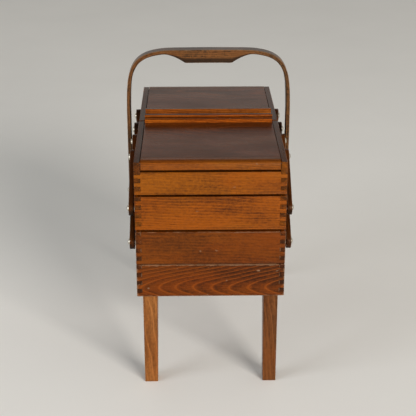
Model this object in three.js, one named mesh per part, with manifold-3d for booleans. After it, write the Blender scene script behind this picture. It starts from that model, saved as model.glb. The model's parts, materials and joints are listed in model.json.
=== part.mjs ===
// A wooden sewing box on legs. Two pairs of trays lie on a deep box and swing out over
// its ends on flat wooden levers, and the two top trays have hinged lids.
// Millimetres, +Z up, feet on z = 0. The long side runs along Y and the levers turn about X.
import * as THREE from "three";
import { mergeVertices } from "three/addons/utils/BufferGeometryUtils.js";
import Module from "manifold-3d";

const wasm = await Module();
wasm.setup();

// ---- driving dimensions -------------------------------------------------------------

const BOX_WIDTH = 220;
const BOX_LENGTH = 384;
const FRAME_BOARD = 8;
const TRAY_BOARD = 9;
const FINGERS = 8;
const JOINT_GAP = 0.2;
const FIT_GAP = 0.3;

const LEG_BELOW_BOX = 153.3;
const LEG_TOP_SIDE = 22.5;
const LEG_FOOT_SIDE = 20;
const LEG_INSIDE_BOX = 46;

const BASE_ROW = 52.65;
const BASE_SEAM = 0.4;
const LOWER_TRAY = 52.4;
const UPPER_TRAY = 49.6;
const TIER_GAP = 3;
const CENTRE_GAP = 3;
const TRAY_BOTTOM = 4;
const BASE_BOTTOM = 5;

const LID_REBATE = 14.9; // how far the end boards of an upper tray stay below its sides
const LID_PROUD = 2.2; // how far the lids stand above the side boards
const LID_PANEL = 9;
const LID_RAIL = 15.8;
const LID_SIDE_GAP = 0.8;
const NOSE_DEPTH = 15;
const NOSE_HEIGHT = 14.3;
const NOSE_ROUND = 7.9; // radius of its upper outer edge
const NOSE_EDGE = 1.5; // radius of its lower outer edge
const LIP_SETBACK = 12.5; // from the middle plane to the inner face of a lip
const LIP_THICKNESS = 4;
const LIP_HEIGHT = 13.3;
const BEAD_RADIUS = 2.1;
const COVE_HEIGHT = 4;
const COVE_DEPTH = 1.4;
const LID_PIN_RADIUS = 1.5;
const LID_PIN_LENGTH = 17;

const PIVOT_INSET = 19.4; // from the end of the box to the first row of pivots
const PIVOT_RISE = 29.15; // from the lower edge of the upper frame to its pivots
const LEVER_RUN = 71.3; // along Y, from one pivot to the next
const LEVER_RISE = 53.75;
const LEVER_WIDTH = 22;
const LEVER_THICKNESS = 7.5;
const WASHER = 1.7;
const WASHER_RADIUS = 5;
const SCREW_RADIUS = 2;
const SCREW_REACH = 6; // how far a shank goes into a board
const HEAD_RADIUS = 5;
const HEAD_HEIGHT = 3.2;
const HEAD_STEPS = 3;
const HEAD_SINK = 0.5;
const SLOT_WIDTH = 1;
const SLOT_FLOOR = 0.75; // as a share of the head's height
const SLOT_STEP = 1.1; // radians by which each slot is turned from the one before

const HANDLE_TOP = 116.8; // above the top edge of the sides
const HANDLE_HALF_WIDTH = 128.3;
const HANDLE_STRIP = 6;
const HANDLE_WIDTH = 18;
const HOOP_POINTS = 84;
const GRIP_DEPTH = 20.5;
const GRIP_FLAT = 36; // half the length of the grip's flat underside
const GRIP_END = 71; // from the middle to where the swelling starts
const GRIP_CURVE = 1.7; // 1 is a straight slope down to the flat, and more is hollower
const SPACER_HEIGHT = 46;
const HANDLE_FOOT = 2; // how far the strips reach below the spacers
const HANDLE_SCREW_PITCH = 28;

const PAST = 1; // how far a cutting shape runs past the face that it cuts

// ---- levels and edges that follow from them -----------------------------------------

const BASE_LOW_Z = LEG_BELOW_BOX;
const BASE_HIGH_Z = BASE_LOW_Z + BASE_ROW + BASE_SEAM;
const LOWER_TRAY_Z = BASE_HIGH_Z + BASE_ROW + TIER_GAP;
const UPPER_TRAY_Z = LOWER_TRAY_Z + LOWER_TRAY + TIER_GAP;
const TOP_Z = UPPER_TRAY_Z + UPPER_TRAY;
const LID_Z = TOP_Z + LID_PROUD;
const PIVOT_Z = BASE_HIGH_Z + PIVOT_RISE;

const SIDE_X = BOX_WIDTH / 2;
const INNER_X = SIDE_X - TRAY_BOARD;
const END_Y = BOX_LENGTH / 2;
const TRAY_LENGTH = END_Y - CENTRE_GAP / 2;
const LEVER_X = SIDE_X + FIT_GAP + WASHER;
const PIVOT_HOLE = SCREW_RADIUS + FIT_GAP;
const HALVES = [["front", -1], ["back", 1]];
const SIDES = [["left", -1], ["right", 1]];

// ---- materials ----------------------------------------------------------------------

function wood(color, roughness) {
  return new THREE.MeshStandardMaterial({ color, roughness, metalness: 0 });
}
const trayWood = wood("#9a5522", 0.35);
const baseWood = wood("#763c1a", 0.4);
const lidWood = wood("#5d3a26", 0.25);
const leverWood = wood("#5a3018", 0.45);
const legWood = wood("#8a4f28", 0.45);
const handleWood = wood("#7a4526", 0.3);
const plywood = wood("#8c6238", 0.6);
const steel = new THREE.MeshStandardMaterial({ color: "#b9b3a6", roughness: 0.35, metalness: 1 });

// ---- shapes -------------------------------------------------------------------------

// A closed outline drawn in two axes and pushed along the third, from `from` to `to`.
function slab(outline, axis, from, to, curveSegments = 12) {
  const geometry = new THREE.ExtrudeGeometry(outline, {
    depth: to - from,
    bevelEnabled: false,
    curveSegments,
  });
  geometry.translate(0, 0, from);
  // shape x, y and depth become y, z, x for axis "x" and x, z, y for axis "y"
  const turn = new THREE.Matrix4();
  if (axis === "x") turn.set(0, 0, 1, 0, 1, 0, 0, 0, 0, 1, 0, 0, 0, 0, 0, 1);
  if (axis === "y") turn.set(1, 0, 0, 0, 0, 0, -1, 0, 0, 1, 0, 0, 0, 0, 0, 1);
  return geometry.applyMatrix4(turn);
}

function polygon(points) {
  return new THREE.Shape(points.map(([x, y]) => new THREE.Vector2(x, y)));
}

function rectangle(x0, y0, x1, y1) {
  return polygon([[x0, y0], [x1, y0], [x1, y1], [x0, y1]]);
}

function box(x0, x1, y0, y1, z0, z1) {
  const geometry = new THREE.BoxGeometry(x1 - x0, y1 - y0, z1 - z0);
  return geometry.translate((x0 + x1) / 2, (y0 + y1) / 2, (z0 + z1) / 2);
}

function hole(shape, x, y, radius) {
  const path = new THREE.Path();
  path.absarc(x, y, radius, 0, 2 * Math.PI, true);
  shape.holes.push(path);
}

// A round bar along X.
function rod(radius, x0, x1, y, z, segments = 16) {
  const geometry = new THREE.CylinderGeometry(radius, radius, x1 - x0, segments);
  return geometry.rotateZ(Math.PI / 2).translate((x0 + x1) / 2, y, z);
}

function solid(geometry) {
  const bare = geometry.index ? geometry.clone() : mergeVertices(geometry);
  bare.deleteAttribute("normal");
  bare.deleteAttribute("uv");
  const merged = mergeVertices(bare, 1e-4);
  const vertProperties = new Float32Array(merged.attributes.position.array);
  const triVerts = new Uint32Array(merged.index.array);
  return new wasm.Manifold(new wasm.Mesh({ numProp: 3, vertProperties, triVerts }));
}

function geometryOf(manifold) {
  const mesh = manifold.getMesh();
  const geometry = new THREE.BufferGeometry();
  geometry.setAttribute("position", new THREE.BufferAttribute(mesh.vertProperties, 3));
  geometry.setIndex(new THREE.BufferAttribute(mesh.triVerts, 1));
  return geometry;
}

function join(geometries) {
  return geometryOf(geometries.map(solid).reduce((a, b) => a.add(b)));
}

function cut(geometry, tools) {
  return geometryOf(tools.map(solid).reduce((a, b) => a.subtract(b), solid(geometry)));
}

const group = new THREE.Group();

function add(name, geometry, material) {
  const mesh = new THREE.Mesh(geometry.index ? geometry.toNonIndexed() : geometry, material);
  mesh.geometry.computeVertexNormals();
  mesh.name = name;
  group.add(mesh);
}

// ---- finger-jointed boards ----------------------------------------------------------

// One end of a board's outline, from the bottom up. Fingers of the two boards take turns:
// `first` is 1 where this board has the lowest finger. `edge` is the outer end of a finger,
// `root` the bottom of a notch.
function fingerEnd(edge, root, z0, rowHeight, boardHeight, first) {
  const pitch = rowHeight / FINGERS;
  const count = Math.ceil(boardHeight / pitch);
  const points = [];
  for (let i = 0; i < count; i += 1) {
    const out = (i + first) % 2 === 1;
    const trim = (out ? JOINT_GAP : -JOINT_GAP) / 2;
    const low = i === 0 ? 0 : i * pitch + trim;
    const high = i === count - 1 ? boardHeight : (i + 1) * pitch - trim;
    const x = out ? edge : root;
    points.push([x, z0 + low], [x, z0 + high]);
  }
  return points;
}

// The outline of a board that runs from a to b. Its fingers are as deep as the next board is
// thick, and over `shoulder` it is plain to its full length.
function boardOutline(a, b, thick, z0, rowHeight, boardHeight, first, shoulder = boardHeight) {
  const notch = thick + JOINT_GAP;
  const low = fingerEnd(a, a + notch, z0, rowHeight, shoulder, first);
  const high = fingerEnd(b, b - notch, z0, rowHeight, shoulder, first);
  if (shoulder < boardHeight) {
    low.push([a, z0 + shoulder], [a, z0 + boardHeight]);
    high.push([b, z0 + shoulder], [b, z0 + boardHeight]);
  }
  return polygon([...high, ...low.reverse()]);
}

// Four boards with fingers at the corners. `ends` gives the y of the two end boards, and
// pivots lists the [y, z] of the screws through each side board.
function frame(prefix, ends, thick, z0, rowHeight, endHeight, pivots, material) {
  const [y0, y1] = ends.map((end) => end[1]);
  for (const [side, s] of SIDES) {
    const shoulder = endHeight < rowHeight ? endHeight + FIT_GAP : rowHeight;
    const outline = boardOutline(y0, y1, thick, z0, rowHeight, rowHeight, 0, shoulder);
    for (const [y, z, radius] of pivots) hole(outline, y, z, radius);
    const [x0, x1] = s < 0 ? [-SIDE_X, thick - SIDE_X] : [SIDE_X - thick, SIDE_X];
    add(`${prefix}_${side}_side`, slab(outline, "x", x0, x1, 4), material);
  }
  ends.forEach(([name, y], i) => {
    const outline = boardOutline(-SIDE_X, SIDE_X, thick, z0, rowHeight, endHeight, 1);
    const from = i === 0 ? y : y - thick;
    // slab turns the depth towards -Y, so the board is pushed the other way
    add(`${prefix}_${name}_end`, slab(outline, "y", -from - thick, -from), material);
  });
}

// ---- box, legs and trays ------------------------------------------------------------

function pivotY(column, sign) {
  return sign * (END_Y - PIVOT_INSET - column * LEVER_RUN);
}

function pivotZ(tier) {
  return PIVOT_Z + tier * LEVER_RISE;
}

const wholeEnds = [["front", -END_Y], ["back", END_Y]];
const basePivots = [];
for (const [, sign] of HALVES) {
  for (const column of [0, 1]) basePivots.push([pivotY(column, sign), pivotZ(0), PIVOT_HOLE]);
  basePivots.push([0, PIVOT_Z + (sign * HANDLE_SCREW_PITCH) / 2, PIVOT_HOLE]);
}
frame("lower_frame", wholeEnds, FRAME_BOARD, BASE_LOW_Z, BASE_ROW, BASE_ROW, [], baseWood);
frame("upper_frame", wholeEnds, FRAME_BOARD, BASE_HIGH_Z, BASE_ROW, BASE_ROW, basePivots,
  baseWood);
const BOX_INNER_X = SIDE_X - FRAME_BOARD - FIT_GAP;
const BOX_INNER_Y = END_Y - FRAME_BOARD - FIT_GAP;

// The bottom of the box, with a notch at each corner for a leg.
function baseBottom() {
  const x = BOX_INNER_X;
  const y = BOX_INNER_Y;
  const notch = LEG_TOP_SIDE + 2 * FIT_GAP;
  const post = (sx, sy) =>
    box(...[sx * (x + PAST), sx * (x - notch)].sort((a, b) => a - b),
      ...[sy * (y + PAST), sy * (y - notch)].sort((a, b) => a - b),
      BASE_LOW_Z - PAST, BASE_LOW_Z + BASE_BOTTOM + PAST);
  const panel = box(-x, x, -y, y, BASE_LOW_Z, BASE_LOW_Z + BASE_BOTTOM);
  return cut(panel, [post(-1, -1), post(1, -1), post(-1, 1), post(1, 1)]);
}
add("box_bottom", baseBottom(), plywood);

// A leg stands in a corner of the lower frame. Its two outer faces are upright, and its
// two inner faces taper below the box.
function leg(sx, sy) {
  const height = LEG_BELOW_BOX + LEG_INSIDE_BOX;
  const geometry = new THREE.BoxGeometry(1, 1, 1, 1, 1, 2);
  const p = geometry.attributes.position;
  for (let i = 0; i < p.count; i += 1) {
    const foot = p.getZ(i) < -0.25;
    const size = foot ? LEG_FOOT_SIDE : LEG_TOP_SIDE;
    const z = foot ? 0 : p.getZ(i) > 0.25 ? height : LEG_BELOW_BOX;
    const x = BOX_INNER_X - size / 2 + sx * p.getX(i) * size;
    const y = BOX_INNER_Y - size / 2 + sy * p.getY(i) * size;
    p.setXYZ(i, sx * x, sy * y, z);
  }
  return geometry;
}
for (const [half, sy] of HALVES) {
  for (const [side, sx] of SIDES) add(`leg_${half}_${side}`, leg(sx, sy), legWood);
}

// A tray is half as long as the box. Its outer end is over the end of the box.
function tray(prefix, sign, z0, rowHeight, endHeight, pivots) {
  const outer = ["outer", sign * END_Y];
  const inner = ["inner", (sign * CENTRE_GAP) / 2];
  const ends = sign < 0 ? [outer, inner] : [inner, outer];
  frame(prefix, ends, TRAY_BOARD, z0, rowHeight, endHeight, pivots, trayWood);
  const x = INNER_X - FIT_GAP;
  const ys = [sign * (CENTRE_GAP / 2 + TRAY_BOARD + FIT_GAP), sign * (END_Y - TRAY_BOARD - FIT_GAP)];
  ys.sort((a, b) => a - b);
  add(`${prefix}_bottom`, box(-x, x, ...ys, z0, z0 + TRAY_BOTTOM), plywood);
}

// ---- lids ---------------------------------------------------------------------------

const LID_X = INNER_X - LID_SIDE_GAP;
const LID_PIN_Y = END_Y - NOSE_HEIGHT / 2;
const LID_PIN_Z = LID_Z - NOSE_HEIGHT / 2;

// An outline drawn for the back half, below and above a lid's top, set in place in either half.
function lidOutline(outline, sign) {
  const points = outline.getPoints(6).map((p) => [sign * p.x, LID_Z + p.y]);
  if (sign < 0) points.reverse();
  return polygon(points);
}

// The rounded rail that the lid turns on, with a bore at each end for its pin.
function noseRail(sign) {
  const back = END_Y - NOSE_DEPTH;
  const outline = new THREE.Shape();
  outline.moveTo(back, -NOSE_HEIGHT);
  outline.absarc(END_Y - NOSE_EDGE, NOSE_EDGE - NOSE_HEIGHT, NOSE_EDGE, -Math.PI / 2, 0, false);
  outline.absarc(END_Y - NOSE_ROUND, -NOSE_ROUND, NOSE_ROUND, 0, Math.PI / 2, false);
  outline.lineTo(back, 0);
  const rail = slab(lidOutline(outline, sign), "x", -LID_X, LID_X);
  const reach = LID_PIN_LENGTH - TRAY_BOARD + PAST;
  const bores = SIDES.map(([, s]) => {
    const ends = [s * (LID_X - reach), s * (LID_X + PAST)].sort((a, b) => a - b);
    return rod(LID_PIN_RADIUS + FIT_GAP, ...ends, sign * LID_PIN_Y, LID_PIN_Z);
  });
  return cut(rail, bores);
}

// The inner rail of a lid. It carries the finger lip, a bead over a cove that faces outwards.
function lipRail(sign) {
  const inner = CENTRE_GAP / 2 + FIT_GAP;
  const face = LIP_SETBACK + LIP_THICKNESS;
  const beadFoot = LIP_HEIGHT - 2 * BEAD_RADIUS;
  const coveFoot = beadFoot - COVE_HEIGHT;
  const [down, up] = [-Math.PI / 2, Math.PI / 2];
  const outline = new THREE.Shape();
  outline.moveTo(inner, -LID_RAIL);
  outline.lineTo(face, -LID_RAIL);
  outline.lineTo(face, coveFoot);
  outline.absellipse(face, coveFoot + COVE_HEIGHT / 2, COVE_DEPTH, COVE_HEIGHT / 2, down, up, true);
  outline.absarc(face, beadFoot + BEAD_RADIUS, BEAD_RADIUS, down, up, false);
  outline.lineTo(LIP_SETBACK, LIP_HEIGHT);
  outline.lineTo(LIP_SETBACK, 0);
  outline.lineTo(inner, 0);
  return slab(lidOutline(outline, sign), "x", -LID_X, LID_X);
}

function lid(half, sign) {
  const from = LIP_SETBACK + LIP_THICKNESS + JOINT_GAP;
  const to = END_Y - NOSE_DEPTH - JOINT_GAP;
  const ys = [sign * from, sign * to].sort((a, b) => a - b);
  add(`${half}_lid_panel`, box(-LID_X, LID_X, ...ys, LID_Z - LID_PANEL, LID_Z), lidWood);
  add(`${half}_lid_nose_rail`, noseRail(sign), trayWood);
  add(`${half}_lid_lip_rail`, lipRail(sign), trayWood);
  for (const [side, s] of SIDES) {
    const ends = [s * (SIDE_X - LID_PIN_LENGTH), s * SIDE_X].sort((a, b) => a - b);
    const pin = rod(LID_PIN_RADIUS, ...ends, sign * LID_PIN_Y, LID_PIN_Z);
    add(`${half}_lid_${side}_pin`, pin, steel);
  }
}

for (const [half, sign] of HALVES) {
  const lowerPivots = [0, 1, 2].map((column) => [pivotY(column, sign), pivotZ(1), PIVOT_HOLE]);
  tray(`${half}_lower_tray`, sign, LOWER_TRAY_Z, LOWER_TRAY, LOWER_TRAY, lowerPivots);
  const upperPivots = [1, 2].map((column) => [pivotY(column, sign), pivotZ(2), PIVOT_HOLE]);
  upperPivots.push([sign * LID_PIN_Y, LID_PIN_Z, LID_PIN_RADIUS + FIT_GAP / 2]);
  tray(`${half}_upper_tray`, sign, UPPER_TRAY_Z, UPPER_TRAY, UPPER_TRAY - LID_REBATE, upperPivots);
  lid(half, sign);
}

// ---- levers -------------------------------------------------------------------------

// A slotted round-head wood screw along X. The head stands on x = seat, and the shank
// goes in to x = tip. `slotTurn` is the angle of its slot.
function screw(seat, tip, y, z, slotTurn) {
  const out = Math.sign(seat);
  const profile = [new THREE.Vector2(0, -HEAD_SINK), new THREE.Vector2(HEAD_RADIUS, -HEAD_SINK)];
  for (let i = 0; i < HEAD_STEPS; i += 1) {
    const a = (i / HEAD_STEPS) * (Math.PI / 2);
    profile.push(new THREE.Vector2(HEAD_RADIUS * Math.cos(a), HEAD_HEIGHT * Math.sin(a)));
  }
  profile.push(new THREE.Vector2(0, HEAD_HEIGHT));
  const head = new THREE.LatheGeometry(profile, 16).rotateZ((-out * Math.PI) / 2);
  const slot = new THREE.BoxGeometry(HEAD_HEIGHT, 3 * HEAD_RADIUS, SLOT_WIDTH).rotateX(slotTurn);
  slot.translate(out * (SLOT_FLOOR + 0.5) * HEAD_HEIGHT, 0, 0);
  const slotted = cut(head, [slot]).translate(seat, y, z);
  const ends = [seat, tip].sort((a, b) => a - b);
  return [slotted, rod(SCREW_RADIUS, ...ends, y, z, 8)];
}

// A lever with round ends, its pivot screws and the washers that keep it off the boards.
// It runs from one [column, tier] to the last, with a pivot at every step.
function lever(s, sign, pivots) {
  const points = pivots.map(([column, tier]) => [pivotY(column, sign), pivotZ(tier)]);
  const [y0, z0] = points[0];
  const [y1, z1] = points.at(-1);
  const along = Math.atan2(z1 - z0, y1 - y0);
  const r = LEVER_WIDTH / 2;
  const outline = new THREE.Shape();
  outline.absarc(y0, z0, r, along + Math.PI / 2, along + 1.5 * Math.PI, false);
  outline.absarc(y1, z1, r, along - Math.PI / 2, along + Math.PI / 2, false);
  const faces = [s * LEVER_X, s * (LEVER_X + LEVER_THICKNESS)].sort((a, b) => a - b);
  const pieces = [slab(outline, "x", ...faces, 8)];
  points.forEach(([y, z], i) => {
    const washer = [s * (LEVER_X - WASHER), s * (LEVER_X + PAST)].sort((a, b) => a - b);
    pieces.push(rod(WASHER_RADIUS, ...washer, y, z, 12));
    const [seat, tip] = [s * (LEVER_X + LEVER_THICKNESS), s * (SIDE_X - SCREW_REACH)];
    pieces.push(...screw(seat, tip, y, z, SLOT_STEP * i + y));
  });
  return join(pieces);
}

const LEVERS = [
  ["long", [[0, 0], [1, 1], [2, 2]]],
  ["upper", [[0, 1], [1, 2]]],
  ["inner", [[1, 0], [2, 1]]],
];
for (const [half, sign] of HALVES) {
  for (const [side, s] of SIDES) {
    for (const [kind, pivots] of LEVERS) {
      add(`${half}_${kind}_lever_${side}`, lever(s, sign, pivots), leverWood);
    }
  }
}

// ---- handle -------------------------------------------------------------------------

const SPACER_X = HANDLE_HALF_WIDTH - HANDLE_STRIP - FIT_GAP;

// Half of the hoop's outer edge, from the grip to where it runs straight down, as
// [share of the half width, height below the top].
const SHOULDER = [
  [0.26, 0.2], [0.5, 0.7], [0.63, 2.6], [0.73, 5.8], [0.81, 10.6],
  [0.88, 18], [0.935, 29], [0.972, 44], [0.992, 66], [1, 96],
];

function hoop() {
  const foot = PIVOT_Z - SPACER_HEIGHT / 2 - HANDLE_FOOT;
  const top = TOP_Z + HANDLE_TOP;
  const half = [[0, 0], ...SHOULDER].map(([x, down]) => [x * HANDLE_HALF_WIDTH, top - down]);
  const left = half.slice(1).reverse().map(([x, z]) => new THREE.Vector2(-x, z));
  const curve = new THREE.SplineCurve([...left, ...half.map(([x, z]) => new THREE.Vector2(x, z))]);
  const outer = curve.getPoints(HOOP_POINTS);
  const inner = outer.map((p, i) => {
    const a = outer[Math.max(i - 1, 0)];
    const b = outer[Math.min(i + 1, outer.length - 1)];
    const normal = new THREE.Vector2(b.y - a.y, a.x - b.x).normalize();
    // the strip swells into a grip with a flat underside in the middle of the top
    const slope = THREE.MathUtils.clamp((GRIP_END - Math.abs(p.x)) / (GRIP_END - GRIP_FLAT), 0, 1);
    const depth = HANDLE_STRIP + (GRIP_DEPTH - HANDLE_STRIP) * slope ** GRIP_CURVE;
    return new THREE.Vector2(p.x, p.y).addScaledVector(normal, depth);
  });
  const h = HANDLE_HALF_WIDTH;
  const strip = HANDLE_STRIP;
  const outline = new THREE.Shape([
    new THREE.Vector2(-h, foot), ...outer, new THREE.Vector2(h, foot),
    new THREE.Vector2(h - strip, foot), ...inner.reverse(), new THREE.Vector2(-h + strip, foot),
  ]);
  const w = HANDLE_WIDTH / 2;
  const bent = slab(outline, "y", -w, w);
  // seen from the side the strip is upright, with round lower ends
  const side = new THREE.Shape();
  side.absarc(0, foot + w, w, Math.PI, 2 * Math.PI, false);
  side.lineTo(w, top + PAST);
  side.lineTo(-w, top + PAST);
  const rounded = solid(bent).intersect(solid(slab(side, "x", -h - PAST, h + PAST)));
  const screws = [];
  for (const [, s] of SIDES) {
    for (const up of [-0.5, 0.5]) {
      const z = PIVOT_Z + up * HANDLE_SCREW_PITCH;
      screws.push(...screw(s * h, s * (SIDE_X - SCREW_REACH), 0, z, SLOT_STEP * (up + s)));
    }
  }
  return geometryOf(screws.map(solid).reduce((a, b) => a.add(b), rounded));
}
add("handle", hoop(), handleWood);

for (const [side, s] of SIDES) {
  const w = HANDLE_WIDTH / 2;
  const outline = rectangle(-w, PIVOT_Z - SPACER_HEIGHT / 2, w, PIVOT_Z + SPACER_HEIGHT / 2);
  for (const up of [-0.5, 0.5]) hole(outline, 0, PIVOT_Z + up * HANDLE_SCREW_PITCH, PIVOT_HOLE);
  const faces = [s * (SIDE_X + FIT_GAP), s * SPACER_X].sort((a, b) => a - b);
  add(`handle_spacer_${side}`, slab(outline, "x", ...faces, 4), handleWood);
}

export default group;
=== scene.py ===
"""Looks of the sewing box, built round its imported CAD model.
Metres, +Z up, the front towards -Y."""
import json
import math

import bmesh
import bpy
from mathutils import Matrix, Vector


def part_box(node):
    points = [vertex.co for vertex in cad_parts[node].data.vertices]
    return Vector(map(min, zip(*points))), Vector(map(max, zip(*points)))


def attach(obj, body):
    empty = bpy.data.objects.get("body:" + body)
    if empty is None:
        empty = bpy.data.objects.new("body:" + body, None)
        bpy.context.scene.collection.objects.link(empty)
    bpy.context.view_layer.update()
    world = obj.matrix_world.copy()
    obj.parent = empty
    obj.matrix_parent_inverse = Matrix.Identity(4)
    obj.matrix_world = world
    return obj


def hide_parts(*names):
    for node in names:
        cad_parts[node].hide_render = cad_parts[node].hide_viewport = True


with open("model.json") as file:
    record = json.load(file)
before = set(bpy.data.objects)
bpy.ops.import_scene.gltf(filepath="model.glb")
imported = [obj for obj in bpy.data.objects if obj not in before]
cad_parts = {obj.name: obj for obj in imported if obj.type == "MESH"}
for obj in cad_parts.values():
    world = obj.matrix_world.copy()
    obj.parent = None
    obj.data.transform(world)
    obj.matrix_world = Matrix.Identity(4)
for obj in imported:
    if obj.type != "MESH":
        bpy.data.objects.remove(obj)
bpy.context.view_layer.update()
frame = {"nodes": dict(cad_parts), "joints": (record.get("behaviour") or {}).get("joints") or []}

X, Y, Z = Vector((1, 0, 0)), Vector((0, 1, 0)), Vector((0, 0, 1))
MM = 0.001
SIDES = (("left", -1), ("right", 1))
HALVES = ("front", "back")
JOINTS = {joint["name"]: joint for joint in frame["joints"]}

# ---- camera, lights and floor -------------------------------------------------------------

SENSOR, LENS = 36, 90.86
CAMERA_PLACE = (-0.0274, -1.5922, 0.8846)
CAMERA_DOWN, CAMERA_TURN = 0.3974, -0.0168  # radians
OBJECT_MIDDLE = (0, 0, 0.25)
# place, width and height, watts, colour
LIGHTS = {"key": ((3.4, -5.8, 2.45), (3.0, 2.4), 480, (1, 0.95, 0.88)),
          "fill": ((-2.6, -1.5, 1.0), (1.6, 1.4), 38, (0.92, 0.96, 1))}
WALLS, CEILING = (0.53, 0.525, 0.50, 1), (0.225, 0.22, 0.205, 1)
FLOOR_REACH = 8

scene = bpy.context.scene
scene.view_settings.view_transform = "Standard"


def linear(r, g, b):
    """A colour from sRGB values of 0 to 255."""
    def channel(v):
        v /= 255
        return v / 12.92 if v <= 0.04045 else ((v + 0.055) / 1.055) ** 2.4
    return (channel(r), channel(g), channel(b), 1)


def make_camera():
    data = bpy.data.cameras.new("camera")
    data.lens, data.sensor_width = LENS, SENSOR
    camera = bpy.data.objects.new("camera", data)
    camera.location = CAMERA_PLACE
    camera.rotation_euler = (math.pi / 2 - CAMERA_DOWN, 0, CAMERA_TURN)
    scene.collection.objects.link(camera)
    scene.camera = camera


def area_light(name, place, size, watts, colour):
    """A rectangular light that faces the object."""
    data = bpy.data.lights.new(name, "AREA")
    data.shape, data.size, data.size_y = "RECTANGLE", size[0], size[1]
    data.energy, data.color = watts, colour
    light = bpy.data.objects.new(name, data)
    light.location = place
    aim = Vector(OBJECT_MIDDLE) - Vector(place)
    light.rotation_euler = aim.to_track_quat("-Z", "Y").to_euler()
    scene.collection.objects.link(light)


def make_lights():
    for name, settings in LIGHTS.items():
        area_light(name, *settings)
    # pale walls all round under a dim ceiling
    world = bpy.data.worlds.new("studio")
    world.use_nodes = True
    t = world.node_tree
    height = node(t, "SeparateXYZ", {0: node(t, "TexCoord").outputs["Generated"]}).outputs[2]
    walls = mix(t, ramp(t, height, 0.5, 0.8), WALLS, CEILING)
    t.links.new(walls, t.nodes["Background"].inputs["Color"])
    scene.world = world


# ---- node helpers -------------------------------------------------------------------------

def node(tree, kind, inputs=None, **settings):
    """A new shader node, with each input linked or set."""
    made = tree.nodes.new("ShaderNode" + kind)
    for name, value in settings.items():
        setattr(made, name, value)
    for name, value in (inputs or {}).items():
        if isinstance(value, bpy.types.NodeSocket):
            tree.links.new(value, made.inputs[name])
        else:
            made.inputs[name].default_value = value
    return made


def calc(tree, operation, a, b=0.0, c=0.0):
    return node(tree, "Math", {0: a, 1: b, 2: c}, operation=operation).outputs[0]


def vector(tree, operation, a, b=(0, 0, 0), out="Vector"):
    return node(tree, "VectorMath", {0: a, 1: b}, operation=operation).outputs[out]


def dot(tree, a, b):
    return vector(tree, "DOT_PRODUCT", a, b, "Value")


def ramp(tree, value, low, high, to_low=0.0, to_high=1.0):
    """Value eased from low to high."""
    return node(tree, "MapRange", {"Value": value, "From Min": low, "From Max": high,
                                   "To Min": to_low, "To Max": to_high},
                interpolation_type="SMOOTHSTEP").outputs["Result"]


def noise(tree, at, scale, detail=2.0, rough=0.5, out="Fac"):
    """Noise stretched by a scale for each direction."""
    at = vector(tree, "MULTIPLY", at, scale)
    return node(tree, "TexNoise", {"Vector": at, "Scale": 1.0, "Detail": detail,
                                   "Roughness": rough}).outputs[out]


def mix(tree, factor, a, b, blend="MIX"):
    """Colour a with as much of b as the factor says."""
    made = node(tree, "Mix", data_type="RGBA", blend_type=blend)
    for name, value in zip(("Factor_Float", "A_Color", "B_Color"), (factor, a, b)):
        socket = next(s for s in made.inputs if s.identifier == name)
        if isinstance(value, bpy.types.NodeSocket):
            tree.links.new(value, socket)
        else:
            socket.default_value = value
    return next(s for s in made.outputs if s.identifier == "Result_Color")


# ---- wood ---------------------------------------------------------------------------------

# noise for each feature: how fine it is along the grain and across it, detail, roughness
WANDER = ((5, 16, 16), 2, 0.5)
UNEVEN = ((2, 3, 3), 1)
STREAK = ((13, 260, 260), 4, 0.62)
FIBRE = ((45, 1500, 1500), 3, 0.6)
BLOTCH = ((9, 26, 26), 3, 0.55)
MOTTLE = ((190, 310, 310), 4, 0.7)
FLECK = ((160, 1300, 1300), 1)
RAYS = ((520, 110, 110), 2, 0.6)
RED_PATCH = ((6, 18, 18), 3, 0.55)
STAIN_PATCH = ((60, 110, 110), 2, 0.6)
WEAR_LINE = ((120, 160, 160), 3, 0.6)
CHIP_PATCH, CHIP_EDGE = ((70, 110, 110), 1), ((900, 1400, 1400), 2)

# what a colour is multiplied by
GOLDEN = (1.75, 1.9, 2.4, 1)
REDDER = (0.99, 0.80, 0.62, 1)
SOAKED = (0.26, 0.27, 0.32, 1)
# painted shade with a painted grey sheen, for faces that look up
TOP_SHADE_AND_SHEEN = (0.26, 0.22, 0.24, 1)
# painted shade, for undersides and hollows
PAINTED_SHADE_TINT = (0.16, 0.13, 0.13, 1)
DIRTY = (0.42, 0.36, 0.36, 1)
BARE_WOOD = (0.30, 0.19, 0.11, 1)

SPECULAR_TINT = (1, 0.84, 0.62, 1)
BUMP_STRENGTH, BUMP_HEIGHT = 0.35, 0.0004
# how far a hollow's shade fades across its edges, and upwards from its lower edge
FADE, FADE_UP = 0.3 * MM, 0.6 * MM


def tinted(tree, colour, by):
    return mix(tree, 1.0, colour, by, "MULTIPLY")


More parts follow.
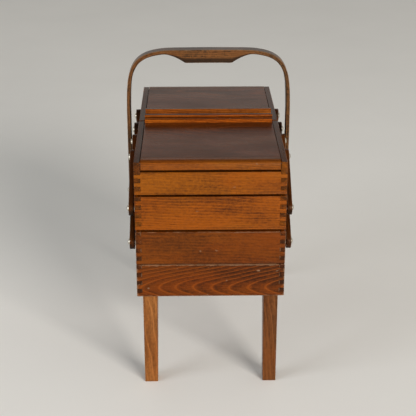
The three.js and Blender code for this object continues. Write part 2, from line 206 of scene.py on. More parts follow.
def wood_group():
    """Lacquered wood. At holds metres along the grain and across it; the growth rings lie
    round a pith that runs along the grain, Tilt metres aside per metre."""
    g = bpy.data.node_groups.new("wood", "ShaderNodeTree")
    for name, kind in (
        ("At", "Vector"), ("Lo", "Vector"), ("Hi", "Vector"), ("Seed", "Vector"),
        ("Pith", "Vector"), ("Tilt", "Vector"), ("Taper", "Float"), ("Ring", "Float"),
        ("Contrast", "Float"), ("Warp", "Float"), ("Figure", "Float"), ("Rays", "Float"),
        ("End", "Float"), ("Up", "Float"), ("Top", "Float"), ("Shade", "Float"),
        ("Wear", "Float"), ("Pale", "Color"), ("Dark", "Color"),
    ):
        g.interface.new_socket(name, in_out="INPUT", socket_type="NodeSocket" + kind)
    for name, kind in (("Color", "Color"), ("Roughness", "Float"), ("Height", "Float")):
        g.interface.new_socket(name, in_out="OUTPUT", socket_type="NodeSocket" + kind)
    given = g.nodes.new("NodeGroupInput").outputs
    at = given["At"]
    seeded = vector(g, "ADD", at, given["Seed"])
    along = node(g, "SeparateXYZ", {0: at}).outputs[0]

    # growth rings: pale early wood that darkens to a sharp line
    wander = node(g, "VectorMath", {
        0: noise(g, seeded, *WANDER, "Color"), 1: (0.5, 0.5, 0.5)},
        operation="SUBTRACT").outputs[0]
    lean = node(g, "VectorMath", {0: given["Tilt"], "Scale": along}, operation="SCALE").outputs[0]
    radial = vector(g, "ADD", vector(g, "SUBTRACT", at, given["Pith"]), lean)
    radial = vector(g, "ADD", radial, node(g, "VectorMath", {
        0: wander, "Scale": given["Warp"]}, operation="SCALE").outputs[0])
    radial = vector(g, "MULTIPLY", radial, (0, 1, 1))
    radius = vector(g, "LENGTH", radial, out="Value")
    radius = calc(g, "SUBTRACT", radius, calc(g, "MULTIPLY", along, given["Taper"]))
    uneven = noise(g, seeded, *UNEVEN)
    count = calc(g, "ADD", calc(g, "DIVIDE", radius, given["Ring"]),
                 calc(g, "MULTIPLY", uneven, calc(g, "MULTIPLY", given["Warp"], 150)))
    phase = calc(g, "FRACT", count)
    late = calc(g, "MULTIPLY", ramp(g, phase, 0.25, 0.9), ramp(g, phase, 1.0, 0.88))
    late = calc(g, "MULTIPLY", late, given["Contrast"])
    # the first early wood of a ring is the palest
    early = calc(g, "MULTIPLY", ramp(g, phase, 0.02, 0.07), ramp(g, phase, 0.26, 0.10))
    early = calc(g, "MULTIPLY", early, given["Contrast"])

    streak = noise(g, seeded, *STREAK)
    fibre = noise(g, seeded, *FIBRE)
    blotch = noise(g, seeded, *BLOTCH)
    mottle = noise(g, seeded, *MOTTLE)
    fleck = ramp(g, noise(g, seeded, *FLECK), 0.66, 0.74)
    rays = ramp(g, noise(g, seeded, *RAYS), 0.52, 0.7)

    tone = calc(g, "ADD", calc(g, "MULTIPLY", ramp(g, streak, 0.3, 0.72), 0.26),
                calc(g, "MULTIPLY", ramp(g, blotch, 0.25, 0.75), 0.52))
    tone = calc(g, "ADD", tone, calc(g, "MULTIPLY", late, 0.75))
    tone = calc(g, "SUBTRACT", tone, calc(g, "MULTIPLY", rays, given["Rays"]))
    tone = calc(g, "ADD", tone, calc(g, "MULTIPLY", fleck, 0.16))
    tone = calc(g, "ADD", tone, calc(g, "MULTIPLY", calc(g, "SUBTRACT", mottle, 0.5), 1.3))
    tone = calc(g, "ADD", calc(g, "MULTIPLY", calc(g, "SUBTRACT", tone, 0.5),
                               given["Figure"]), 0.5)
    colour = mix(g, ramp(g, tone, 0.0, 1.15), given["Pale"], given["Dark"])
    colour = mix(g, calc(g, "MULTIPLY", early, 1.3), colour, tinted(g, given["Pale"], GOLDEN))
    fine = ramp(g, fibre, 0.25, 0.75, 0.80, 1.18)
    colour = tinted(g, colour, node(g, "CombineXYZ", {0: fine, 1: fine, 2: fine}).outputs[0])

    # the stain is redder in some patches
    red = ramp(g, noise(g, seeded, *RED_PATCH), 0.36, 0.62, 0.1, 0.8)
    colour = mix(g, red, colour, tinted(g, colour, REDDER))

    # end grain drinks in more stain
    ends = ramp(g, given["End"], 0.6, 0.85)
    patchy = ramp(g, noise(g, seeded, *STAIN_PATCH), 0.3, 0.65, 0.35, 1.0)
    colour = mix(g, calc(g, "MULTIPLY", ends, patchy), colour, tinted(g, colour, SOAKED))

    # painted shade with a painted grey sheen on faces that look up
    painted_top_mask = calc(g, "MULTIPLY", ramp(g, given["Up"], 0.75, 0.95), given["Top"])
    colour = mix(g, painted_top_mask, colour, tinted(g, colour, TOP_SHADE_AND_SHEEN))
    # painted shade on undersides, in hollows and on the handle's inner face
    painted_shade = calc(g, "MAXIMUM", ramp(g, given["Up"], -0.3, -0.9, 0.0, 0.6), given["Shade"])
    colour = mix(g, painted_shade, colour, tinted(g, colour, PAINTED_SHADE_TINT))

    # worn edges: the second smallest distance to the faces of the board's box
    low = vector(g, "ABSOLUTE", vector(g, "SUBTRACT", at, given["Lo"]))
    high = vector(g, "ABSOLUTE", vector(g, "SUBTRACT", given["Hi"], at))
    near = node(g, "SeparateXYZ", {0: vector(g, "MINIMUM", low, high)}).outputs
    total = calc(g, "ADD", calc(g, "ADD", near[0], near[1]), near[2])
    least = calc(g, "MINIMUM", calc(g, "MINIMUM", near[0], near[1]), near[2])
    most = calc(g, "MAXIMUM", calc(g, "MAXIMUM", near[0], near[1]), near[2])
    edge = calc(g, "SUBTRACT", calc(g, "SUBTRACT", total, least), most)
    grime = calc(g, "MULTIPLY", ramp(g, edge, 0.0050, 0.0008),
                 ramp(g, blotch, 0.3, 0.62, 0.12, 0.42))
    grime = calc(g, "MULTIPLY", grime, ramp(g, given["Wear"], 0.2, 1.0))
    colour = mix(g, grime, colour, tinted(g, colour, DIRTY))
    rough_line = calc(g, "MULTIPLY", noise(g, seeded, *WEAR_LINE),
                      calc(g, "MULTIPLY", given["Wear"], 0.0034))
    worn = ramp(g, calc(g, "SUBTRACT", edge, rough_line), -0.0006, -0.0016)
    bare = mix(g, 0.55, given["Pale"], BARE_WOOD)
    colour = mix(g, calc(g, "MULTIPLY", worn, 0.55), colour, bare)

    # small chips where the lacquer has gone
    chips = calc(g, "ADD", noise(g, seeded, *CHIP_PATCH),
                 calc(g, "MULTIPLY", noise(g, seeded, *CHIP_EDGE), 0.16))
    chips = calc(g, "MULTIPLY", ramp(g, chips, 0.845, 0.86), given["Wear"])
    colour = mix(g, calc(g, "MULTIPLY", chips, 0.5), colour, bare)

    gloss = calc(g, "ADD", ramp(g, blotch, 0.2, 0.8, 0.22, 0.32),
                 calc(g, "MULTIPLY", ramp(g, fibre, 0.3, 0.7), 0.07))
    gloss = calc(g, "ADD", gloss, calc(g, "MULTIPLY", calc(g, "MAXIMUM", worn, chips), 0.22))
    gloss = calc(g, "ADD", gloss, calc(g, "MULTIPLY", ends, 0.12))
    height = calc(g, "ADD", calc(g, "MULTIPLY", streak, 0.5), calc(g, "MULTIPLY", fibre, 0.3))
    height = calc(g, "SUBTRACT", height, calc(g, "MULTIPLY", late, 0.25))
    height = calc(g, "SUBTRACT", height, calc(g, "MULTIPLY", fleck, 0.25))
    height = calc(g, "SUBTRACT", height, calc(g, "MULTIPLY", chips, 0.8))
    result = g.nodes.new("NodeGroupOutput")
    for name, value in (("Color", colour), ("Roughness", gloss), ("Height", height)):
        g.links.new(value, result.inputs[name])
    return g


WOOD = wood_group()


def wood(name, box, axes, pale, dark, seed, ring=0.003, contrast=0.6, pith=(0, 0.05, 0.09),
         tilt=(0, 0.02, 0.03), taper=0.0, warp=0.016, wear=1.0, gleam=0.25, figure=1.0,
         rays=0.0, top=0.0, lift=0.0, hollow=None, attribute=None):
    """A wood for one piece. Axes are the grain's direction and the two across it, and box
    the lowest and highest corner of the piece. Pith is measured from the box's middle.
    Hollow is an outward direction and two heights between which that side is in shade."""
    material = bpy.data.materials.new(name)
    material.use_nodes = True
    t = material.node_tree
    t.nodes.clear()
    place = node(t, "TexCoord").outputs
    if attribute:
        at = node(t, "Attribute", attribute_name=attribute).outputs["Vector"]
        lo, hi = box
        facing = 0.0
    else:
        parts = [dot(t, place["Object"], axis) for axis in axes]
        at = node(t, "CombineXYZ", {0: parts[0], 1: parts[1], 2: parts[2]}).outputs[0]
        corners = [[Vector(c).dot(axis) for c in box] for axis in axes]
        lo, hi = [min(c) for c in corners], [max(c) for c in corners]
        facing = calc(t, "ABSOLUTE", dot(t, place["Normal"], axes[0]))
    # how far a face looks up: top puts painted shade and a grey sheen on up-facing faces,
    # undersides get painted shade, and lift tips faces towards up
    up = calc(t, "ADD", dot(t, place["Normal"], Z), lift)
    shade = 0.0
    # painted shade on the handle's inner face, reaching further up under the grip
    if attribute:
        shade = ramp(t, node(t, "Attribute", attribute_name="inward").outputs["Fac"], 0.72, 0.97)
    # painted shade in the hollow under a lip's bead, on the side that faces outwards
    if hollow:
        outwards, low, high = hollow
        height = dot(t, place["Object"], Z)
        shade = calc(t, "MULTIPLY", ramp(t, height, low - FADE, low + FADE_UP),
                     ramp(t, height, high + FADE, high - FADE))
        shade = calc(t, "MULTIPLY", shade,
                     ramp(t, dot(t, place["Normal"], outwards), -0.3, 0.1, 0.0, 0.8))
    centre = [(a + b) / 2 for a, b in zip(lo, hi)]
    inputs = {
        "At": at, "Lo": lo, "Hi": hi, "Seed": (seed * 1.37, seed * 0.61, seed * 2.03),
        "Pith": [c + p for c, p in zip(centre, pith)], "Tilt": tilt, "Taper": taper,
        "Ring": ring, "Contrast": contrast, "Warp": warp, "Figure": figure, "Rays": rays,
        "End": facing,
        "Up": up, "Top": top, "Shade": shade, "Wear": wear, "Pale": pale, "Dark": dark,
    }
    # the group's own sockets exist once its tree is set
    group = node(t, "Group", node_tree=WOOD)
    for key, value in inputs.items():
        if isinstance(value, bpy.types.NodeSocket):
            t.links.new(value, group.inputs[key])
        else:
            group.inputs[key].default_value = value
    bump = node(t, "Bump", {"Strength": BUMP_STRENGTH, "Distance": BUMP_HEIGHT,
                            "Height": group.outputs["Height"]})
    shader = node(t, "BsdfPrincipled", {
        "Base Color": group.outputs["Color"], "Roughness": group.outputs["Roughness"],
        "Normal": bump.outputs[0], "IOR": 1.45, "Specular IOR Level": gleam,
        "Specular Tint": SPECULAR_TINT,
    })
    out = node(t, "OutputMaterial")
    t.links.new(shader.outputs[0], out.inputs["Surface"])
    return material


CLEAN, TARNISHED = (0.62, 0.58, 0.50, 1), (0.30, 0.25, 0.18, 1)
FLOOR_TONES = (0.82, 0.81, 0.79, 1), (0.88, 0.87, 0.85, 1)


def nickel():
    """Worn nickel: brushed, a little tarnished in spots."""
    material = bpy.data.materials.new("nickel")
    material.use_nodes = True
    t = material.node_tree
    t.nodes.clear()
    at = node(t, "TexCoord").outputs["Object"]
    spots = noise(t, at, (900, 900, 900), 3, 0.6)
    scratch = noise(t, at, (300, 5000, 600), 2, 0.6)
    colour = mix(t, ramp(t, spots, 0.45, 0.75), CLEAN, TARNISHED)
    rough = calc(t, "ADD", ramp(t, spots, 0.3, 0.8, 0.22, 0.42),
                 calc(t, "MULTIPLY", scratch, 0.12))
    bump = node(t, "Bump", {"Strength": 0.2, "Distance": 0.0001, "Height": scratch})
    shader = node(t, "BsdfPrincipled", {"Base Color": colour, "Roughness": rough,
                                        "Metallic": 1.0, "Normal": bump.outputs[0]})
    out = node(t, "OutputMaterial")
    t.links.new(shader.outputs[0], out.inputs["Surface"])
    return material


def floor_material():
    material = bpy.data.materials.new("floor")
    material.use_nodes = True
    t = material.node_tree
    shader = t.nodes["Principled BSDF"]
    at = node(t, "TexCoord").outputs["Object"]
    soft = noise(t, at, (3, 3, 3), 4, 0.55)
    colour = mix(t, soft, *FLOOR_TONES)
    t.links.new(colour, shader.inputs["Base Color"])
    shader.inputs["Roughness"].default_value = 0.8
    shader.inputs["Specular IOR Level"].default_value = 0.1
    return material


def make_floor():
    mesh = bpy.data.meshes.new("floor")
    r = FLOOR_REACH
    mesh.from_pydata([(-r, -r, 0), (r, -r, 0), (r, r, 0), (-r, r, 0)], [], [(0, 1, 2, 3)])
    floor = bpy.data.objects.new("floor", mesh)
    floor.data.materials.append(floor_material())
    scene.collection.objects.link(floor)


# ---- CAD nodes: soft edges and a wood each -----------------------------------------------

# how wide an edge is rounded
EDGE = 0.35 * MM
FRAME_EDGE, TRAY_EDGE = 1.6 * MM, 0.9 * MM  # along the top and the bottom of a board
END_EDGE, LEG_EDGE, LIP_EDGE, PIN_EDGE = 0.6 * MM, 0.8 * MM, 0.25 * MM, 0.1 * MM
SLOT_EDGE = 0.12 * MM
LONG_STEPS, EDGE_STEPS = 3, 2
CORNER, NEW_CORNER = math.radians(38), math.radians(40)  # a sharper turn is rounded
SAME_POINT, SAME_PLANE = 0.02 * MM, math.radians(1)
LEVEL = 0.05 * MM  # a point this near a board's top or bottom is on it
SLIVER = 0.004 * MM  # points that a bevel leaves nearer each other are welded
# how far below a lip's top the hollow under its bead starts and ends; painted shade goes there
HOLLOW = (4.3 * MM, 8.2 * MM)


def soften(name, edge=EDGE, long_edge=0.0):
    """Joins a node's triangles, then rounds its edges. The long edge width goes on the
    edges of its top and bottom."""
    piece = frame["nodes"][name]
    mesh = piece.data
    for old in ("custom_normal", "sharp_edge", "sharp_face"):
        if old in mesh.attributes:
            mesh.attributes.remove(mesh.attributes[old])
    mesh.shade_smooth()
    piece.modifiers.new("weld", "WELD").merge_threshold = SAME_POINT
    flat = piece.modifiers.new("flat", "DECIMATE")
    flat.decimate_type, flat.angle_limit = "DISSOLVE", SAME_PLANE
    if long_edge:
        lo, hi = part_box(name)
        group = piece.vertex_groups.new(name="long")
        group.add([v.index for v in mesh.vertices
                   if min(hi[2] - v.co.z, v.co.z - lo[2]) < LEVEL], 1.0, "REPLACE")
        bevel = piece.modifiers.new("long", "BEVEL")
        bevel.limit_method, bevel.vertex_group = "VGROUP", "long"
        bevel.width, bevel.segments, bevel.harden_normals = long_edge, LONG_STEPS, True
        bevel.use_clamp_overlap = True
    bevel = piece.modifiers.new("edge", "BEVEL")
    bevel.limit_method, bevel.angle_limit = "ANGLE", CORNER
    bevel.width, bevel.segments, bevel.harden_normals = edge, EDGE_STEPS, True
    return piece


def give(piece, material):
    piece.data.materials.clear()
    piece.data.materials.append(material)


# pale and dark tone of each wood
TRAY = (linear(131, 71, 7), linear(66, 28, 3))
TRAY_LOW = (linear(129, 69, 7), linear(64, 27, 3))
FRAME_HIGH = (linear(105, 51, 5), linear(56, 23, 2))
FRAME_LOW = (linear(99, 46, 5), linear(42, 16, 2))
NOSE = (linear(121, 66, 7), linear(62, 26, 3))
LID = (linear(89, 42, 5), linear(46, 20, 3))
LIP = {"front": (linear(148, 77, 14), linear(86, 37, 5)),
       "back": (linear(136, 76, 24), linear(76, 34, 9))}
LEG = (linear(104, 62, 30), linear(60, 31, 12))
# painted light: the leg wood made lighter all over, for the front left leg
LEG_PAINTED_LIT = (linear(140, 88, 43), linear(88, 49, 20))
LEVER = (linear(82, 41, 7), linear(38, 17, 3))
HANDLE = (linear(99, 64, 32), linear(26, 13, 7))
PLY = (linear(136, 96, 56), linear(96, 62, 33))

ALONG_X, ALONG_Y, ALONG_Z = (X, Y, Z), (Y, X, Z), (Z, X, Y)
PLAIN_END = {"pith": (0, 0.05, 0.08), "contrast": 0.13, "ring": 0.0041, "rays": 0.12}
# flat sawn: the rings meet the face as nested arches
ARCHED_END = {"pith": (0, 0.010, -0.011), "tilt": (0, 0, 0.01), "taper": 0.20,
              "ring": 0.0052, "warp": 0.010, "contrast": 0.45, "wear": 1.6}
PLYWOOD = {"contrast": 0.6, "ring": 0.006, "pith": (0, 0.02, 0.03), "tilt": (0, 0, 0.08)}


def dress(name, seed, tones, axes, long_edge=0.0, edge=EDGE, **looks):
    """Softens a CAD node's edges and gives it a wood of its own."""
    piece = soften(name, edge, long_edge)
    give(piece, wood(name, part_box(name), axes, *tones, seed, **looks))


def dress_boards():
    """Gives each CAD node that is kept its edges and its wood or metal."""
    seed = 1
    for row, tones in (("lower_frame", FRAME_LOW), ("upper_frame", FRAME_HIGH)):
        for side, _ in SIDES:
            seed += 1
            dress(f"{row}_{side}_side", seed, tones, ALONG_Y, FRAME_EDGE,
                  pith=(0, 0.03 + 0.002 * seed, 0.07), contrast=0.28)
        for end in HALVES:
            seed += 1
            looks = ARCHED_END if (row, end) == ("lower_frame", "front") else PLAIN_END
            dress(f"{row}_{end}_end", seed, tones, ALONG_X, FRAME_EDGE, **looks)
    for half in HALVES:
        for tier, tones in (("lower", TRAY_LOW), ("upper", TRAY)):
            for side, _ in SIDES:
                seed += 1
                # top: painted shade and grey sheen on the side boards' upper faces
                dress(f"{half}_{tier}_tray_{side}_side", seed, tones, ALONG_Y, TRAY_EDGE,
                      contrast=0.22, top=1.0 if tier == "upper" else 0.4, gleam=0.21,
                      wear=0.5)
            for end in ("outer_end", "inner_end"):
                seed += 1
                # top: painted shade and grey sheen on the end boards' upper faces
                dress(f"{half}_{tier}_tray_{end}", seed, tones, ALONG_X, END_EDGE,
                      contrast=0.24 if tier == "lower" else 0.1, ring=0.0036, top=0.8,
                      wear=0.6, rays=0.14)
            seed += 1
            dress(f"{half}_{tier}_tray_bottom", seed, PLY, ALONG_Y, **PLYWOOD)
        seed += 1
        dress(f"{half}_lid_panel", seed, LID, ALONG_X, END_EDGE, contrast=0.3, gleam=0.27,
              wear=0.4)
        # top and lift: painted shade and grey sheen over the nose rail's top
        dress(f"{half}_lid_nose_rail", seed + 1, NOSE, ALONG_X, contrast=0.2, top=0.55,
              lift=0.18, gleam=0.36, wear=0.5)
        outwards = -Y if half == "front" else Y
        rail_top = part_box(f"{half}_lid_lip_rail")[1][2]
        # top and lift: painted shade and grey sheen on the lip's top; hollow: painted shade under
        # its bead
        dress(f"{half}_lid_lip_rail", seed + 2, LIP[half], ALONG_X, edge=LIP_EDGE,
              contrast=0.3, top=1.0, lift=0.06, wear=0.7, gleam=0.35,
              hollow=(outwards, rail_top - HOLLOW[1], rail_top - HOLLOW[0]))
        seed += 2
        for side, _ in SIDES:
            give(soften(f"{half}_lid_{side}_pin", PIN_EDGE), NICKEL)
    dress("box_bottom", seed + 1, PLY, ALONG_Y, **PLYWOOD)
    for half in HALVES:
        for side, _ in SIDES:
            seed += 1
            # painted light: the front left leg gets the lighter copy of the leg wood
            tones = LEG_PAINTED_LIT if (half, side) == ("front", "left") else LEG
            dress(f"leg_{half}_{side}", seed, tones, ALONG_Z, edge=LEG_EDGE, contrast=0.2,
                  ring=0.0034)
    for side, _ in SIDES:
        seed += 1
        dress(f"handle_spacer_{side}", seed, LEVER, ALONG_Z, edge=END_EDGE)


# ---- new pieces ---------------------------------------------------------------------------

def new_piece(name, mesh, body, slot, *materials):
    """A piece that rides on a body and wears the materials given; the slot is not used."""
    piece = bpy.data.objects.new(name, mesh)
    for material in materials:
        if material.name not in [m.name for m in mesh.materials if m]:
            mesh.materials.append(material)
    scene.collection.objects.link(piece)
    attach(piece, body)
    return piece


def lathe(profile, segments=40):
    """A closed mesh turned round X from (x, radius) pairs that start and end on the axis."""
    verts, faces, rings = [], [], []
    for x, r in profile:
        if r == 0:
            rings.append([len(verts)])
            verts.append((x, 0, 0))
        else:
            rings.append(list(range(len(verts), len(verts) + segments)))
            verts += [(x, r * math.cos(a), r * math.sin(a))
                      for a in (2 * math.pi * i / segments for i in range(segments))]
    for a, b in zip(rings, rings[1:]):
        for i in range(segments):
            j = (i + 1) % segments
            quad = [a[i % len(a)], a[j % len(a)], b[j % len(b)], b[i % len(b)]]
            faces.append(list(dict.fromkeys(quad)))
    return verts, faces


SCREW_RADIUS, SCREW_HEIGHT = 4.9 * MM, 3.0 * MM
SCREW_FLANGE, SCREW_STEP, SCREW_RINGS = 0.35 * MM, 0.25 * MM, 8
SLOT_WIDTH, SLOT_DEPTH = 1.0 * MM, 1.3 * MM
WASHER, WASHER_RADIUS, WASHER_CHAMFER = 1.7 * MM, 5 * MM, 0.25 * MM


def evaluated(piece, name):
    """A mesh of the piece with its modifiers applied."""
    graph = bpy.context.evaluated_depsgraph_get()
    mesh = bpy.data.meshes.new_from_object(piece.evaluated_get(graph))
    mesh.name = name
    return mesh


def screw_mesh():
    """A slotted dome that points along +X from x 0, on a thin flange."""
    profile = [(0, 0), (0, SCREW_RADIUS), (SCREW_FLANGE, SCREW_RADIUS)]
    for i in range(1, SCREW_RINGS + 1):
        a = i / SCREW_RINGS * math.pi / 2
        profile.append((SCREW_FLANGE + (SCREW_HEIGHT - SCREW_FLANGE) * math.sin(a),
                        (SCREW_RADIUS - SCREW_STEP) * math.cos(a) if i < SCREW_RINGS else 0))
    mesh = bpy.data.meshes.new("screw_blank")
    verts, faces = lathe(profile)
    mesh.from_pydata(verts, [], faces)
    blank = bpy.data.objects.new("screw_blank", mesh)
    scene.collection.objects.link(blank)
    edit = bmesh.new()
    bmesh.ops.create_cube(edit, size=1)
    bmesh.ops.scale(edit, vec=(2 * SLOT_DEPTH, 3 * SCREW_RADIUS, SLOT_WIDTH), verts=edit.verts)
    bmesh.ops.translate(edit, vec=(SCREW_HEIGHT, 0, 0), verts=edit.verts)
    tool_mesh = bpy.data.meshes.new("slot_tool")
    edit.to_mesh(tool_mesh)
    edit.free()
    tool = bpy.data.objects.new("slot_tool", tool_mesh)
    scene.collection.objects.link(tool)
    slot = blank.modifiers.new("slot", "BOOLEAN")
    slot.object, slot.operation, slot.solver = tool, "DIFFERENCE", "EXACT"
    bevel = blank.modifiers.new("edge", "BEVEL")
    bevel.limit_method, bevel.angle_limit = "ANGLE", NEW_CORNER
    bevel.width, bevel.segments, bevel.harden_normals = SLOT_EDGE, EDGE_STEPS, True
    blank.modifiers.new("weld", "WELD").merge_threshold = SLIVER
    mesh.shade_smooth()
    made = evaluated(blank, "screw")
    bpy.data.objects.remove(blank)
    bpy.data.objects.remove(tool)
    return made


def washer_mesh(thickness):
    r, c = WASHER_RADIUS, WASHER_CHAMFER
    verts, faces = lathe([(0, 0), (0, r - c), (c, r), (thickness - c, r), (thickness, r - c),
                          (thickness, 0)])
    mesh = bpy.data.meshes.new("washer")
    mesh.from_pydata(verts, [], faces)
    return mesh


def put(name, mesh, body, x, y, z, side, turn):
    """Sets a turned mesh so that its +X points outwards on one side."""
    piece = new_piece(name, mesh, body, "steel", NICKEL)
    facing = Matrix.Identity(4) if side > 0 else Matrix.Rotation(math.pi, 4, "Z")
    piece.matrix_basis = (Matrix.Translation((x, y, z)) @ facing
                          @ Matrix.Rotation(turn, 4, "X"))
    return piece


def plate(outline, x0, x1, rounding):
    """A flat plate between two x planes with its rim rounded, from (y, z) points."""
    edit = bmesh.new()
    face = edit.faces.new([edit.verts.new((x0, y, z)) for y, z in outline])
    bottom = list(face.verts)
    made = bmesh.ops.extrude_face_region(edit, geom=[face])
    top = [v for v in made["geom"] if isinstance(v, bmesh.types.BMVert)]
    bmesh.ops.translate(edit, vec=(x1 - x0, 0, 0), verts=top)
    rims = [e for e in edit.edges
            if all(v in bottom for v in e.verts) or all(v in top for v in e.verts)]
    bmesh.ops.bevel(edit, geom=rims, offset=rounding, segments=3, profile=0.5,
                    affect="EDGES", clamp_overlap=True)
    bmesh.ops.recalc_face_normals(edit, faces=edit.faces)
    mesh = bpy.data.meshes.new("plate")
    edit.to_mesh(mesh)
    edit.free()
    mesh.shade_smooth()
    mesh.set_sharp_from_angle(angle=NEW_CORNER)
    return mesh


PIVOTS = {"long": 3, "upper": 2, "inner": 2}  # on each kind of lever
LEVER_HALF_WIDTH = 11 * MM
LEVER_FACES = (112 * MM, 119.5 * MM)
LEVER_ROUNDING, LEVER_END_STEPS = 0.9 * MM, 24
LEVER_SEED, HANDLE_SEED = 60, 91


def lever_pivots(half, kind):
    """The (y, z) of a lever's pivots at rest, from the record's joints."""
    spots = {name: JOINTS[f"{half}_{name}"]["pos_m"][1:] for name in (
        "open", "lower_tray_pivot", "upper_tray_pivot", "upper_lever_pivot",
        "inner_lever_pivot")}
    first = Vector(spots["open"])
    step = Vector(spots["lower_tray_pivot"]) - first
    start = {"long": first, "upper": Vector(spots["upper_lever_pivot"]),
             "inner": Vector(spots["inner_lever_pivot"])}[kind]
    return [start + step * i for i in range(PIVOTS[kind])]


def make_levers():
    """The levers, with a washer and a screw on every pivot."""
    seed = LEVER_SEED
    for half in HALVES:
        for kind in PIVOTS:
            pivots = lever_pivots(half, kind)
            a, b = pivots[0], pivots[-1]
            d = (b - a).normalized()
            side_way = Vector((-d.y, d.x))
            outline = []
            for centre, start in ((a, math.pi / 2), (b, -math.pi / 2)):
                for i in range(LEVER_END_STEPS + 1):
                    turn = start + math.pi * i / LEVER_END_STEPS
                    outline.append(centre + LEVER_HALF_WIDTH
                                   * (math.cos(turn) * d + math.sin(turn) * side_way))
            body = f"{half}_{kind}_levers"
            for side, s in SIDES:
                seed += 1
                node_name = f"{half}_{kind}_lever_{side}"
                x0, x1 = s * LEVER_FACES[0], s * LEVER_FACES[1]
                mesh = plate([(p.x, p.y) for p in outline], min(x0, x1), max(x0, x1),
                             LEVER_ROUNDING)
                along, across = Vector((0, d.x, d.y)), Vector((0, -d.y, d.x))
                corner = (d + side_way) * LEVER_HALF_WIDTH
                box = (Vector((x0, *(a - corner))), Vector((x1, *(b + corner))))
                material = wood(node_name, box, (along, across, X), *LEVER, seed,
                                contrast=0.25, pith=(0, 0.06, 0.05), gleam=0.18)
                piece = new_piece(f"{node_name}_wood", mesh, body, "lever_wood", material)
                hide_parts(node_name)
                for i, p in enumerate(pivots):
                    # each slot is turned its own way
                    put(f"{node_name}_screw_{i + 1}", SCREW, body, x1, p.x, p.y, s,
                        0.7 + 1.3 * i + seed)
                    put(f"{node_name}_washer_{i + 1}", WASHER_MESH, body, x0 - s * WASHER,
                        p.x, p.y, s, 0)


# Half of the handle's outer edge, from the middle: share of the half width, mm below the top.
SHOULDER = [
    (0, 0), (0.26, 0.2), (0.5, 0.7), (0.63, 2.6), (0.73, 5.8), (0.81, 10.6),
    (0.88, 18), (0.935, 29), (0.972, 44), (0.992, 66), (1, 96),
]
HANDLE_HALF_WIDTH = 128.3 * MM
HOOP_STEPS, STRAIGHT_STEPS = 10, 14
STRIP, GRIP = 6 * MM, 20.5 * MM
GRIP_FLAT, GRIP_END, GRIP_CURVE = 36 * MM, 71 * MM, 1.7
GRIP_ZONE = 20 * MM  # the swelling is only this far below the top
GRIP_SHADE = 0.3  # how much further up its sides the shade under the grip reaches
THINNEST = 0.5 * MM
HANDLE_ROUNDING = 1.3 * MM
HANDLE_SCREW_PITCH = 28 * MM


def catmull(points, steps):
    """Points of a uniform Catmull-Rom spline, the ends doubled."""
    full = [points[0], *points, points[-1]]
    for i in range(len(points) - 1):
        p0, p1, p2, p3 = full[i:i + 4]
        for j in range(steps):
            t = j / steps
            yield 0.5 * (2 * p1 + (p2 - p0) * t + (2 * p0 - 5 * p1 + 4 * p2 - p3) * t * t
                         + (3 * p1 - p0 - 3 * p2 + p3) * t ** 3)
    yield points[-1]


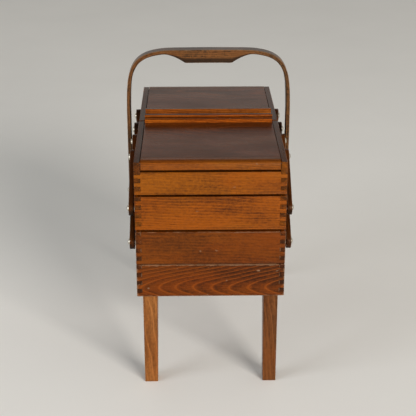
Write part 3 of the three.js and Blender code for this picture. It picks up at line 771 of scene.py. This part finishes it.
def make_handle():
    """A bentwood hoop that swells inwards into a grip, and its screws."""
    lo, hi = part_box("handle")
    half_width, w, top, foot = HANDLE_HALF_WIDTH, hi[1], hi[2], lo[2]
    half = [Vector((x * half_width, top - down * MM)) for x, down in SHOULDER]
    knots = [Vector((-p.x, p.y)) for p in half[:0:-1]] + half
    outer = list(catmull(knots, HOOP_STEPS))
    down = outer[-1].y - foot
    left = [Vector((-half_width, foot + down * i / STRAIGHT_STEPS))
            for i in range(STRAIGHT_STEPS)]
    right = [Vector((half_width, p.y)) for p in reversed(left)]
    outer = left + outer + right
    verts, faces, grain, inward = [], [], [], []
    run = 0.0
    for i, p in enumerate(outer):
        a, b = outer[max(i - 1, 0)], outer[min(i + 1, len(outer) - 1)]
        tangent = (b - a).normalized()
        normal = Vector((tangent.y, -tangent.x))
        x = abs(p.x)
        t = max(0.0, min(1.0, (GRIP_END - x) / (GRIP_END - GRIP_FLAT)))
        swell = t ** GRIP_CURVE if p.y > top - GRIP_ZONE else 0.0
        depth = STRIP + (GRIP - STRIP) * swell
        q = p + normal * depth
        if i:
            run += (p - outer[i - 1]).length
        # the lower ends are round, seen from the side
        up = p.y - foot
        y = w if up >= w else math.sqrt(max(w * w - (w - up) ** 2, THINNEST ** 2))
        for point, cross in ((p, 0.0), (q, depth)):
            for side in (-1, 1):
                verts.append((point.x, side * y, point.y))
                grain.append((run, side * y, cross))
                inward.append(1.0 + GRIP_SHADE * swell if cross else 0.0)
    for i in range(len(outer) - 1):
        k = 4 * i
        # 0 outer front, 1 outer back, 2 inner front, 3 inner back
        faces += [(k, k + 1, k + 5, k + 4), (k + 2, k + 6, k + 7, k + 3),
                  (k, k + 4, k + 6, k + 2), (k + 1, k + 3, k + 7, k + 5)]
    last = len(verts) - 4
    faces += [(0, 2, 3, 1), (last, last + 1, last + 3, last + 2)]
    mesh = bpy.data.meshes.new("handle")
    mesh.from_pydata(verts, [], faces)
    data = mesh.attributes.new("grain", "FLOAT_VECTOR", "POINT")
    data.data.foreach_set("vector", [c for g in grain for c in g])
    mesh.attributes.new("inward", "FLOAT", "POINT").data.foreach_set("value", inward)
    edit = bmesh.new()
    edit.from_mesh(mesh)
    bmesh.ops.recalc_face_normals(edit, faces=edit.faces)
    edit.to_mesh(mesh)
    edit.free()
    mesh.shade_smooth()
    # top: painted shade and grey sheen on the handle's top; the inward attribute adds painted
    # shade on its inner face
    material = wood("handle", ((0, -w, 0), (run, w, GRIP)), None, *HANDLE, HANDLE_SEED,
                    contrast=0.3, ring=0.0026, pith=(0, 0.03, 0.06), tilt=(0, 0.01, 0.01),
                    top=0.6, figure=1.6, rays=0.5, gleam=0.36, attribute="grain")
    piece = new_piece("handle_wood", mesh, "box", "handle_wood", material)
    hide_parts("handle")
    bevel = piece.modifiers.new("edge", "BEVEL")
    bevel.limit_method, bevel.angle_limit = "ANGLE", NEW_CORNER
    bevel.width, bevel.segments, bevel.harden_normals = HANDLE_ROUNDING, LONG_STEPS, True
    piece.modifiers.new("weld", "WELD").merge_threshold = SLIVER
    spacer_lo, spacer_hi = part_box("handle_spacer_right")
    middle = (spacer_lo[2] + spacer_hi[2]) / 2
    for side, s in SIDES:
        for i, up in enumerate((-0.5, 0.5)):
            put(f"handle_screw_{side}_{i + 1}", SCREW, "box", s * half_width, 0,
                middle + up * HANDLE_SCREW_PITCH, s, 0.5 + 2 * i + s)


make_camera()
make_lights()
make_floor()
NICKEL = nickel()
SCREW = screw_mesh()
WASHER_MESH = washer_mesh(WASHER)
dress_boards()
make_levers()
make_handle()

bpy.context.view_layer.update()
